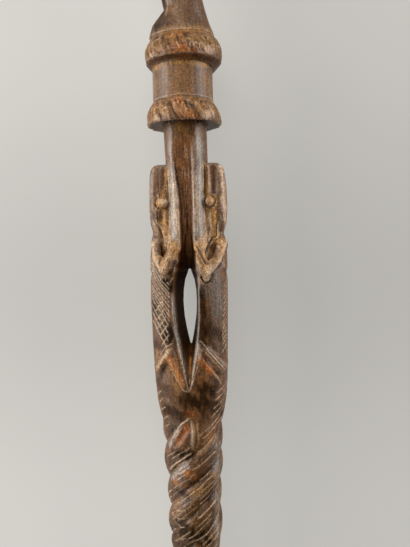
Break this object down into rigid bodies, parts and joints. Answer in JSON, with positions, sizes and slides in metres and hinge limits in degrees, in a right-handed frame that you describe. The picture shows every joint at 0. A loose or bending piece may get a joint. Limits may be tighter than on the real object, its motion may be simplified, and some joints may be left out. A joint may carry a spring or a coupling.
{
  "type": "ceremonial staff",
  "caption": "Carved hardwood staff: paired climbing crocodiles with twisted tails round a pierced slit, below fluted collars and a plain leaning neck and knob.",
  "frame": {"origin": "middle of the bounding box's bottom face, in the plane that the staff rests on", "axes": "+Y along the staff towards its knob, +Z out of its carved front, +X to the right seen from the front with the knob up"},
  "size_m": [0.0592, 1.05, 0.0568],
  "materials": {
    "carved_wood": "dark, hand-carved hardwood with a handled, semi-gloss patina, golden-brown in its recesses"
  },
  "bodies": {
    "root": {"staff": "carved_wood"}
  },
  "joints": []
}
